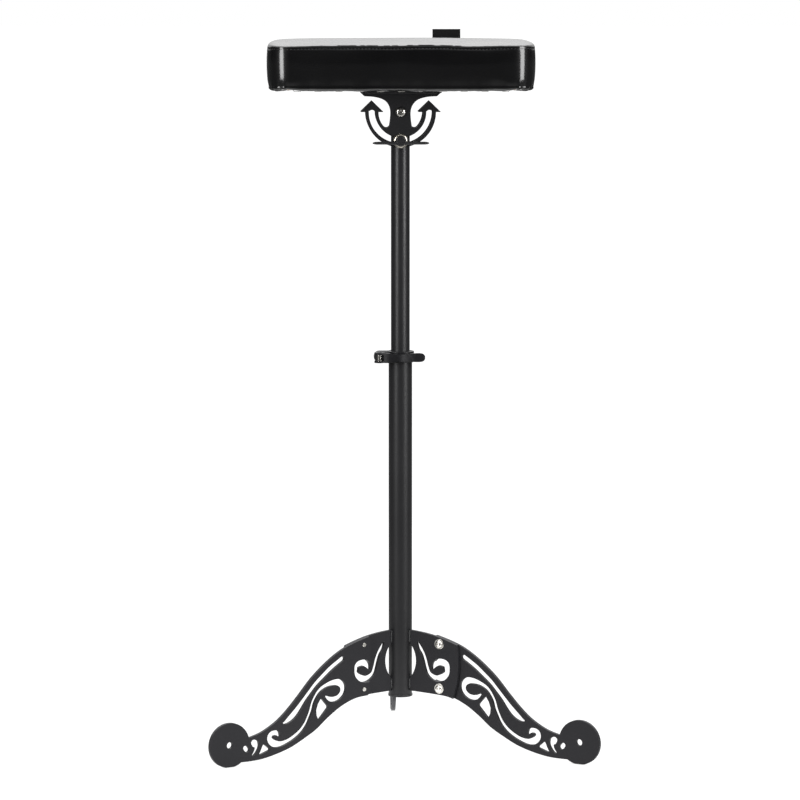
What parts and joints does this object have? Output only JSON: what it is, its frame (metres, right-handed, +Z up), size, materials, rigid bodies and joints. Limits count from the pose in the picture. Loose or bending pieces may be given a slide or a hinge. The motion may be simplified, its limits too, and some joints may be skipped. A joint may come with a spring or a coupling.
{
  "type": "tattoo arm rest stand",
  "caption": "Free-standing padded arm rest on a tilting yoke, with a sliding and turning pole, quick-release clamp and scroll-cut tripod legs.",
  "frame": {"origin": "on the pole's axis at floor level", "axes": "+Z up along the pole, -Y to the front where the clamp lever and the tee handle are, +X to the right seen from the front"},
  "size_m": [0.522, 0.4565, 0.9748],
  "materials": {
    "powder_black": "satin black powder coat",
    "powder_charcoal": "fine matt charcoal powder coat",
    "bright_zinc": "bright zinc plating",
    "black_plastic": "moulded black plastic",
    "black_alloy": "black anodised aluminium",
    "washer_resin": "black resin",
    "black_vinyl": "glossy black upholstery vinyl",
    "foam": "yellow polyurethane foam",
    "plywood": "birch plywood",
    "woven_tape": "black woven tape"
  },
  "bodies": {
    "base": {"outer_tube": "powder_black", "fin_right": "powder_charcoal", "fin_back": "powder_charcoal", "fin_left": "powder_charcoal", "fin_welds": "powder_black", "leg_right": "powder_charcoal", "leg_back": "powder_charcoal", "leg_left": "powder_charcoal", "leg_bolts": "bright_zinc", "bottom_cap": "black_plastic", "upper_guide_bush": "black_plastic", "clamp_collar": "black_alloy", "clamp_skewer": "bright_zinc", "cam_pin": "bright_zinc", "cam_washer": "washer_resin"},
    "slider": {"lower_guide_bush": "black_plastic"},
    "pole": {"inner_tube": "powder_black", "tube_top_plug": "black_plastic", "pole_saddles": "black_plastic", "pivot_bolt": "bright_zinc", "pivot_nut": "bright_zinc", "tilt_nut": "bright_zinc"},
    "tilt_knob": {"tee_screw": "bright_zinc", "tee_washer": "bright_zinc", "tee_handle": "black_plastic"},
    "head": {"front_anchor": "powder_black", "rear_anchor": "powder_black", "anchor_welds": "powder_black", "mount_plate": "powder_black", "mount_screws": "bright_zinc", "tee_nuts": "bright_zinc", "base_board": "plywood", "foam_core": "foam", "pad_cover": "black_vinyl", "cover_staples": "bright_zinc", "seam_tag": "woven_tape"},
    "lever": {"clamp_lever": "black_alloy"},
    "adjusting_nut": {"clamp_nut": "bright_zinc"}
  },
  "joints": [
    {"name": "height_slide", "type": "slide", "parent": "base", "child": "slider", "axis": [0, 0, 1], "range_m": [-0.265, 0.04]},
    {"name": "pole_swivel", "type": "hinge", "parent": "slider", "child": "pole", "pos_m": [0, 0, 0.54005], "axis": [0, 0, 1], "continuous": true},
    {"name": "pad_tilt", "type": "hinge", "parent": "pole", "child": "head", "pos_m": [0, 0, 0.86505], "axis": [0, 1, 0], "range_deg": [-65, 65]},
    {"name": "knob_turn", "type": "hinge", "parent": "pole", "child": "tilt_knob", "pos_m": [0, -0.03, 0.82655], "axis": [0, -1, 0], "continuous": true},
    {"name": "lever_swing", "type": "hinge", "parent": "base", "child": "lever", "pos_m": [-0.0285, -0.01905, 0.5348], "axis": [0, 0, -1], "range_deg": [0, 165]},
    {"name": "nut_turn", "type": "hinge", "parent": "base", "child": "adjusting_nut", "pos_m": [-0.0285, 0.0125, 0.5348], "axis": [0, 1, 0], "continuous": true}
  ]
}
